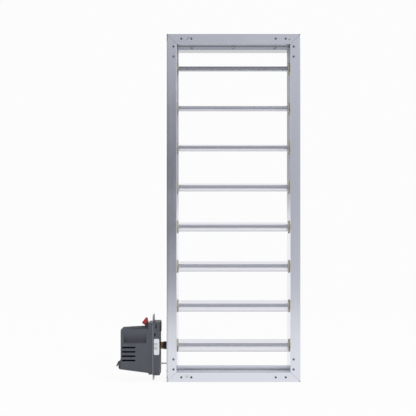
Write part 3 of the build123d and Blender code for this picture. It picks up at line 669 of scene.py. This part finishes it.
class DAMPER_OT_dress_frame(bpy.types.Operator):
    """Satin aluminium on the channels, the corner plates and the stops"""

    bl_idname = "damper.dress_frame"
    bl_label = "Dress frame"

    # A slanting smudge and a spot on the top rail, and a smudge on the bottom rail
    rail_marks = (
        WearAndShadeMark(-0.0867, 0.6521, 48.0, 0.0038, 0.0011, 0.0012, 0.75),
        WearAndShadeMark(0.1061, 0.6500, 20.0, 0.0018, 0.0013, 0.0008, 0.85),
        WearAndShadeMark(-0.0882, 0.0104, 0.0, 0.0034, 0.0022, 0.0014, 0.40),
    )
    # Painted shade along the left stile's outer edge: three short dark strokes and one long dark line
    stile_edge_shade = (
        WearAndShadeMark(-0.1260, 0.6535, 90.0, 0.0065, 0.0008, 0.0004, 1.0),
        WearAndShadeMark(-0.1262, 0.0215, 90.0, 0.0022, 0.0006, 0.0004, 1.0),
        WearAndShadeMark(-0.1260, 0.0085, 90.0, 0.0035, 0.0008, 0.0004, 1.0),
        WearAndShadeMark(-0.1262, 0.3302, 90.0, 0.3320, 0.0018, 0.0017, 0.40),
    )

    def execute(self, context):
        look = scene_settings()[0]
        colour = look.frame_colour
        rough = look.frame_roughness
        stop_rough = rough + 0.06
        plate_rough = rough + 0.10
        seam = look.seam_width
        upright = extruded_aluminium(
            "stile_aluminium", colour, rough, ALONG_Z, seam, dull=0.80, marks=self.stile_edge_shade
        )
        level = extruded_aluminium(
            "rail_aluminium", colour, rough, ALONG_X, seam, marks=self.rail_marks, rail_light_and_shade=True
        )
        inner = extruded_aluminium("stop_aluminium", colour, stop_rough, ALONG_X, stop_foot_shaded=True)
        plate = extruded_aluminium("plate_aluminium", colour, plate_rough, ALONG_X)
        stop_rivets = plated_steel("stop_rivet_steel", look.zinc_colour, roughness=0.55)
        finish(upright, "left_stile", "right_stile")
        finish(level, "top_rail", "bottom_rail")
        finish(inner, "top_stop", "bottom_stop")
        finish(plate, "front_corner_plates", "back_corner_plates")
        finish(stop_rivets, "stop_rivets")
        return {"FINISHED"}


class DAMPER_OT_dress_blades(bpy.types.Operator):
    """Mill-finish aluminium on the blades and plated steel on their axles"""

    bl_idname = "damper.dress_blades"
    bl_label = "Dress blades"

    def execute(self, context):
        look = scene_settings()[0]
        rough = look.frame_roughness + 0.02
        metal = extruded_aluminium("blade_aluminium", look.blade_colour, rough, ALONG_X)
        finish(metal, *[f"blade_{n}" for n in BLADE_NUMBERS])
        steel = plated_steel("axle_steel", look.zinc_colour, roughness=0.30)
        finish(steel, *[f"axles_{n}" for n in BLADE_NUMBERS], "drive_shaft", "output_shaft")
        return {"FINISHED"}


class DAMPER_OT_dress_linkage(bpy.types.Operator):
    """Zinc-plated steel on the crank arms and the link bar, darker steel on the pins"""

    bl_idname = "damper.dress_linkage"
    bl_label = "Dress linkage"

    def execute(self, context):
        look = scene_settings()[0]
        zinc = plated_steel("linkage_zinc", look.linkage_colour, roughness=0.34, grain=350.0)
        finish(zinc, *[f"crank_arm_{n}" for n in BLADE_NUMBERS], "link_bar")
        pin_steel = plated_steel("pin_steel", look.rivet_colour, roughness=0.30)
        finish(pin_steel, "link_pins")
        return {"FINISHED"}


class DAMPER_OT_add_bearings(bpy.types.Operator):
    """Flanged nylon bearings: one profile with a rounded rim, turned about each blade axis on both sides"""

    bl_idname = "damper.add_bearings"
    bl_label = "Add bearings"

    collar_width = 0.0022
    collar_slope = 0.0004
    rim_share = 0.42
    rim_points = 5
    back_break = 0.0003
    lead_in = 0.0006
    segments = 40

    def profile(self, sizes):
        """(along, radius) pairs: collar, rounded rim, back of the flange, barrel and lead-in."""
        flange = sizes.bearing_flange
        radius = sizes.bearing_radius
        barrel = sizes.barrel_radius
        reach = sizes.barrel_reach
        bore = sizes.axle_radius
        collar = bore + self.collar_width
        rim = flange * self.rim_share
        pairs = [(-flange, bore), (-flange, collar)]
        pairs += [(self.collar_slope - flange, collar + self.collar_slope)]
        pairs += arc_pairs((rim - flange, radius - rim), rim, 180.0, 90.0, self.rim_points)
        pairs += [(-self.back_break, radius), (0.0, radius - self.back_break), (0.0, barrel)]
        pairs += [(reach - self.lead_in, barrel), (reach, barrel - self.lead_in), (reach, bore)]
        return np.array(pairs)

    def execute(self, context):
        look, sizes, _ = scene_settings()
        nylon = bearing_nylon("bearing_nylon", look.nylon_colour)
        along, radius = self.profile(sizes).T
        for side, name in ((-1, "left"), (1, "right")):
            turned = np.stack([side * (HALF_OPENING + along), radius], axis=-1)
            rings = [lathe(turned, (0.0, AXIS_Y, z), ALONG_X, self.segments) for z in BLADE_AXES]
            shells = [grid_shell(ring, wrap_u=True, wrap_v=True) for ring in rings]
            row = f"{name}_bearing_row"
            piece(row, shells, nylon, FRAME_BODY, [f"{name}_bearings"])
        return {"FINISHED"}


class DAMPER_OT_add_rivets(bpy.types.Operator):
    """Dished blind rivets, flush with the frame's faces: one profile turned about Y at each place"""

    bl_idname = "damper.add_rivets"
    bl_label = "Add rivets"

    # Steps from the frame's corner along a stile and along a rail, in metres
    stile_steps = (0.024, 0.043)
    rail_steps = (0.028, 0.047)
    # Depth under the face in metres, and share of the rivet's radius
    dish = (
        (0.0046, 0.0),
        (0.0046, 0.9),
        (0.0044, 1.0),
        (0.0004, 1.0),
        (0.00015, 0.93),
        (0.00035, 0.72),
        (0.00055, 0.42),
        (0.0015, 0.36),
        (0.0015, 0.0),
    )
    segments = 20

    def centres(self, stile_inset, rail_inset):
        """Rivet centres (x, z) at the four corners."""
        spots = [(stile_inset, step) for step in self.stile_steps]
        spots += [(step, rail_inset) for step in self.rail_steps]
        return [
            (side * (HALF_WIDTH - x), HALF_HEIGHT + end * (HALF_HEIGHT - z))
            for side in (-1, 1)
            for end in (-1, 1)
            for x, z in spots
        ]

    def execute(self, context):
        look, sizes, _ = scene_settings()
        steel = plated_steel("rivet_steel", look.rivet_colour, roughness=0.42)
        depth, share = np.array(self.dish).T
        shells = []
        for face in (-1, 1):
            turned = np.stack([face * (HALF_DEPTH - depth), sizes.rivet_radius * share], axis=-1)
            for x, z in self.centres(sizes.stile_inset, sizes.rail_inset):
                ring = lathe(turned, (x, 0.0, z), ALONG_Y, self.segments)
                shells.append(grid_shell(ring, wrap_v=True))
        piece("corner_rivet_set", shells, steel, FRAME_BODY, ["corner_rivets"])
        finish(steel, "cover_screws", "coupling_screw", "lever_pin")
        return {"FINISHED"}


class DAMPER_OT_dress_actuator(bpy.types.Operator):
    """Grained plastic housing, red release lever, steel plate and pin, and the gear train inside"""

    bl_idname = "damper.dress_actuator"
    bl_label = "Dress actuator"

    def execute(self, context):
        look = scene_settings()[0]
        housing = moulded_plastic(
            "housing_plastic", look.housing_colour, roughness=0.50, gloss=0.25, scooped=True
        )
        lever = moulded_plastic("lever_plastic", look.lever_colour, roughness=0.30, grain=0.00002)
        black = moulded_plastic("black_plastic", look.black_colour, roughness=0.45)
        gear = moulded_plastic("gear_nylon", look.gear_colour, roughness=0.38)
        zinc = plated_steel("pin_zinc", look.zinc_colour, roughness=0.32, grain=300.0)
        plate = plated_steel("plate_steel", look.plate_colour, roughness=0.42, grain=300.0)
        finish(housing, "actuator_cover", "actuator_base")
        finish(lever, "release_lever")
        finish(black, "cover_clip", "coupling_sleeve")
        finish(gear, "output_gear", "compound_gear", "motor_pinion")
        finish(zinc, "anti_rotation_pin", "gear_arbor", "motor")
        finish(plate, "mounting_plate")
        return {"FINISHED"}


class DAMPER_OT_add_coupling(bpy.types.Operator):
    """Turned brass coupling: one profile with chamfered ends and grip grooves, turned about the shaft"""

    bl_idname = "damper.add_coupling"
    bl_label = "Add coupling"

    bore = 0.0035
    chamfer = 0.0007
    groove_steps = (0.0022, 0.0034, 0.0046)
    groove_slope = 0.0002
    groove_floor = 0.0003
    groove_depth = 0.0005
    segments = 48

    def profile(self):
        """(along, radius) pairs: bored end, chamfer, three flat-bottomed grooves, chamfer, bored end."""
        left, right = COUPLING_LOW[0], COUPLING_HIGH[0]
        radius = (COUPLING_HIGH[2] - COUPLING_LOW[2]) / 2
        shoulder = radius - self.chamfer
        sunk = radius - self.groove_depth
        pairs = [(left, self.bore), (left, shoulder), (left + self.chamfer, radius)]
        for step in self.groove_steps:
            start = left + step
            floor = start + self.groove_slope
            rise = floor + self.groove_floor
            pairs += [(start, radius), (floor, sunk), (rise, sunk), (rise + self.groove_slope, radius)]
        pairs += [(right - self.chamfer, radius), (right, shoulder), (right, self.bore)]
        return pairs

    def execute(self, context):
        look = scene_settings()[0]
        brass = turned_brass("coupling_brass", look.brass_colour)
        ring = lathe(self.profile(), (0.0, AXIS_Y, SHAFT_Z), ALONG_X, self.segments)
        shell = grid_shell(ring, wrap_u=True, wrap_v=True)
        piece("turned_coupling", [shell], brass, DRIVE_BODY, ["coupling"])
        return {"FINISHED"}


class DAMPER_OT_add_label(bpy.types.Operator):
    """Blank label on the front of the actuator's base, with a rounded oblong outline"""

    bl_idname = "damper.add_label"
    bl_label = "Add label"

    # Heights of the plain bars from the shaft, in metres, and their right end as a share of the width
    bar_heights = ((-0.0052, 0.0008), (0.0030, 0.0075))
    bar_end = 0.18
    shift_left = 0.0003
    thickness = 0.00016
    corner_power = 12.0
    outline_points = 64
    # Share of the outline and of the thickness, from the middle of the back round to the front's middle
    layers = ((0.0, 0.0), (1.0, 0.0), (1.0, 1.0), (0.985, 1.2), (0.0, 1.2))

    def outline(self, width, height):
        """Superellipse in x and z: cosine and sine over the root of the sum of their powers."""
        turn = np.linspace(0.0, 2 * pi, self.outline_points, endpoint=False)
        power = self.corner_power
        spread = (np.abs(np.cos(turn)) ** power + np.abs(np.sin(turn)) ** power) ** (-1 / power)
        return width / 2 * spread * np.cos(turn), height / 2 * spread * np.sin(turn)

    def execute(self, context):
        sizes = scene_settings()[1]
        middle = (PLATE_HIGH[0] + BASE_HIGH[0]) / 2 - self.shift_left
        bars = [(SHAFT_Z + low, SHAFT_Z + high) for low, high in self.bar_heights]
        paper = blank_paper("label_paper", bars, middle + sizes.label_width * self.bar_end)
        across, up = self.outline(sizes.label_width, sizes.label_height)
        share, out = np.array(self.layers).T
        x = middle + np.outer(share, across)
        y = BASE_LOW[1] - self.thickness * np.repeat(out[:, None], self.outline_points, axis=1)
        z = SHAFT_Z + np.outer(share, up)
        shell = grid_shell(np.stack([x, y, z], axis=-1), wrap_v=True)
        piece("blank_label", [shell], paper, FRAME_BODY)
        return {"FINISHED"}


class DAMPER_OT_build_stage(bpy.types.Operator):
    """Pale floor and backdrop, soft light and the camera at the photograph's angle"""

    bl_idname = "damper.build_stage"
    bl_label = "Build stage"

    curl_share = 0.25
    back_share = 0.6
    curl_points = 13
    sheet_colour = (0.92, 0.92, 0.93, 1.0)
    white = (1.0, 1.0, 1.0, 1.0)
    sky_colour = (0.955, 0.965, 1.0, 1.0)
    ceiling_colour = (0.50, 0.51, 0.53, 1.0)
    room_low_colour = (0.86, 0.87, 0.91, 1.0)
    room_high_colour = (0.28, 0.29, 0.32, 1.0)
    spot_colour = (0.08, 0.083, 0.095, 1.0)
    world_strength = 0.8
    # Where parts of the world begin and end, by a direction's y or z
    front_edge = (-0.5, -0.25)
    ceiling_edge = (0.84, 1.0)
    least_ahead = 0.05
    # The room and the dark spot in it, as slopes across and up from the damper
    room_side = (0.7, 2.2)
    room_middle = 0.2
    room_end = (0.45, 0.95)
    room_dusk = (0.15, 0.40)
    spot_across = -0.09
    spot_up = 0.055
    spot_half_width = 0.16
    spot_above = 0.085
    spot_below = 0.15
    spot_edge = (0.2, 1.25)
    # Place and diameter in metres, power in watts
    lamps = {
        "key_lamp": ((1.4, -1.9, 1.6), 1.6, 19.0),
        "fill_lamp": ((-1.8, -1.2, 1.4), 1.8, 9.0),
    }
    sensor_width = 36.0

    def sheet_material(self, shadow):
        """White that glows where it is seen or mirrored, and shows a share of the shadow."""
        material, g = fresh_material("white_sheet")
        seen = g.node("ShaderNodeLightPath", output="Is Camera Ray")
        path = seen.socket.node
        for name in ("Is Glossy Ray", "Is Transmission Ray"):
            seen = seen.most(Field(g, path.outputs[name]))
        diffuse = g.node("ShaderNodeBsdfDiffuse", inputs={"Color": self.sheet_colour})
        glow = g.node("ShaderNodeEmission", inputs={"Color": self.white, "Strength": 1.0})
        mixed = {0: seen * (1.0 - shadow), 1: diffuse, 2: glow}
        g.output(g.node("ShaderNodeMixShader", inputs=mixed))
        return material

    def white_sheet(self, reach, front, shadow):
        """Floor that curls up into a backdrop: a YZ profile of two flats and a quarter round, along X."""
        curl = reach * self.curl_share
        back = reach * self.back_share
        turn = np.radians(np.linspace(-90.0, 0.0, self.curl_points))
        y = np.concatenate([[-front], back - curl + curl * np.cos(turn), [back]])
        z = np.concatenate([[0.0], curl + curl * np.sin(turn), [reach]])
        x = np.repeat([[-reach], [reach]], len(y), axis=1)
        points, quads = grid_shell(np.stack([x, np.tile(y, (2, 1)), np.tile(z, (2, 1))], axis=-1))
        mesh = smooth_mesh("white_sheet", points, quads, self.sheet_material(shadow))
        add_object("white_sheet", mesh)

    def soft_world(self):
        """White surroundings, a grey ceiling, a grey room past the floor's front and a dark spot in it."""
        world = bpy.data.worlds.new("studio_world")
        bpy.context.scene.world = world
        world.use_nodes = True
        g = Graph(world.node_tree)
        x, y, z = g.split(g.node("ShaderNodeTexCoord", output="Generated"))
        ahead = (y * -1.0).most(self.least_ahead)
        across = x / ahead
        up = z / ahead
        in_front = 1 - y.smooth(*self.front_edge)
        between_sides = 1 - abs(across).smooth(*self.room_side)
        between_ends = 1 - abs(up - self.room_middle).smooth(*self.room_end)
        room = between_sides * between_ends * in_front
        rise = up - self.spot_up
        above = rise.most(0.0) / self.spot_above
        below = (rise * -1.0).most(0.0) / self.spot_below
        beside = (across - self.spot_across) / self.spot_half_width
        away = (beside * beside + above * above + below * below) ** 0.5
        spot = (1 - away.smooth(*self.spot_edge)) * in_front
        room_colour = g.mix(up.smooth(*self.room_dusk), self.room_low_colour, self.room_high_colour)
        colour = g.mix(room, self.sky_colour, room_colour)
        colour = g.mix(spot, colour, self.spot_colour)
        colour = g.mix(z.smooth(*self.ceiling_edge), colour, self.ceiling_colour)
        light = g.node("ShaderNodeBackground", inputs={"Color": colour, "Strength": self.world_strength})
        plain = g.node("ShaderNodeBackground", inputs={"Color": self.white, "Strength": 1.0})
        seen = g.node("ShaderNodeLightPath", output="Is Camera Ray")
        shown = g.node("ShaderNodeMixShader", inputs={0: seen, 1: light, 2: plain})
        g.node("ShaderNodeOutputWorld", inputs={"Surface": shown})

    def lamp(self, name, place, size, power):
        """Soft round lamp that faces the middle of the damper."""
        data = bpy.data.lights.new(name, "AREA")
        data.shape = "DISK"
        data.size = size
        data.energy = power
        obj = add_object(name, data)
        obj.location = place
        aim = np.array([0.0, 0.0, HALF_HEIGHT]) - np.array(place)
        obj.rotation_euler = Vector(aim).to_track_quat("-Z", "Y").to_euler()

    def camera(self, stage):
        """Level camera that looks along Y, with the lens shifted to frame the damper."""
        data = bpy.data.cameras.new("camera")
        data.lens = stage.lens
        data.sensor_width = self.sensor_width
        data.sensor_fit = "HORIZONTAL"
        data.shift_x, data.shift_y = stage.shift
        camera = add_object("camera", data)
        camera.location = stage.camera_place
        camera.rotation_euler = (radians(90.0), 0.0, 0.0)
        bpy.context.scene.camera = camera

    def execute(self, context):
        stage = scene_settings()[2]
        self.white_sheet(stage.floor_reach, stage.floor_front, stage.floor_shadow)
        self.soft_world()
        for name, (place, size, power) in self.lamps.items():
            self.lamp(name, place, size, power)
        self.camera(stage)
        bpy.context.scene.view_settings.view_transform = "Standard"
        return {"FINISHED"}


OPERATORS = (
    DAMPER_OT_dress_frame,
    DAMPER_OT_dress_blades,
    DAMPER_OT_dress_linkage,
    DAMPER_OT_add_bearings,
    DAMPER_OT_add_rivets,
    DAMPER_OT_dress_actuator,
    DAMPER_OT_add_coupling,
    DAMPER_OT_add_label,
    DAMPER_OT_build_stage,
)


class DAMPER_PT_sidebar(bpy.types.Panel):
    """The damper's pieces, in the sidebar"""

    bl_idname = "DAMPER_PT_sidebar"
    bl_label = "Zone Damper"
    bl_space_type = "VIEW_3D"
    bl_region_type = "UI"
    bl_category = "Zone Damper"

    def draw(self, context):
        for operator in OPERATORS:
            self.layout.operator(operator.bl_idname)
        for group in scene_settings():
            for name in group.bl_rna.properties.keys():
                if name not in {"rna_type", "name"}:
                    self.layout.prop(group, name)


GROUPS = {
    "damper_finishes": DamperFinishes,
    "damper_pieces": DamperPieces,
    "damper_stage": DamperStage,
}
CLASSES = (*GROUPS.values(), *OPERATORS, DAMPER_PT_sidebar)


def register():
    """Register the classes and hang the property groups on the scene."""
    for cls in CLASSES:
        bpy.utils.register_class(cls)
    for name, group in GROUPS.items():
        setattr(bpy.types.Scene, name, bpy.props.PointerProperty(type=group))


def unregister():
    """Take the property groups off the scene and unregister the classes."""
    for name in GROUPS:
        delattr(bpy.types.Scene, name)
    for cls in reversed(CLASSES):
        bpy.utils.unregister_class(cls)


def main():
    """Dress the damper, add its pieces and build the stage."""
    register()
    bpy.ops.damper.dress_frame()
    bpy.ops.damper.dress_blades()
    bpy.ops.damper.dress_linkage()
    bpy.ops.damper.add_bearings()
    bpy.ops.damper.add_rivets()
    bpy.ops.damper.dress_actuator()
    bpy.ops.damper.add_coupling()
    bpy.ops.damper.add_label()
    bpy.ops.damper.build_stage()


if __name__ == "__main__":
    main()
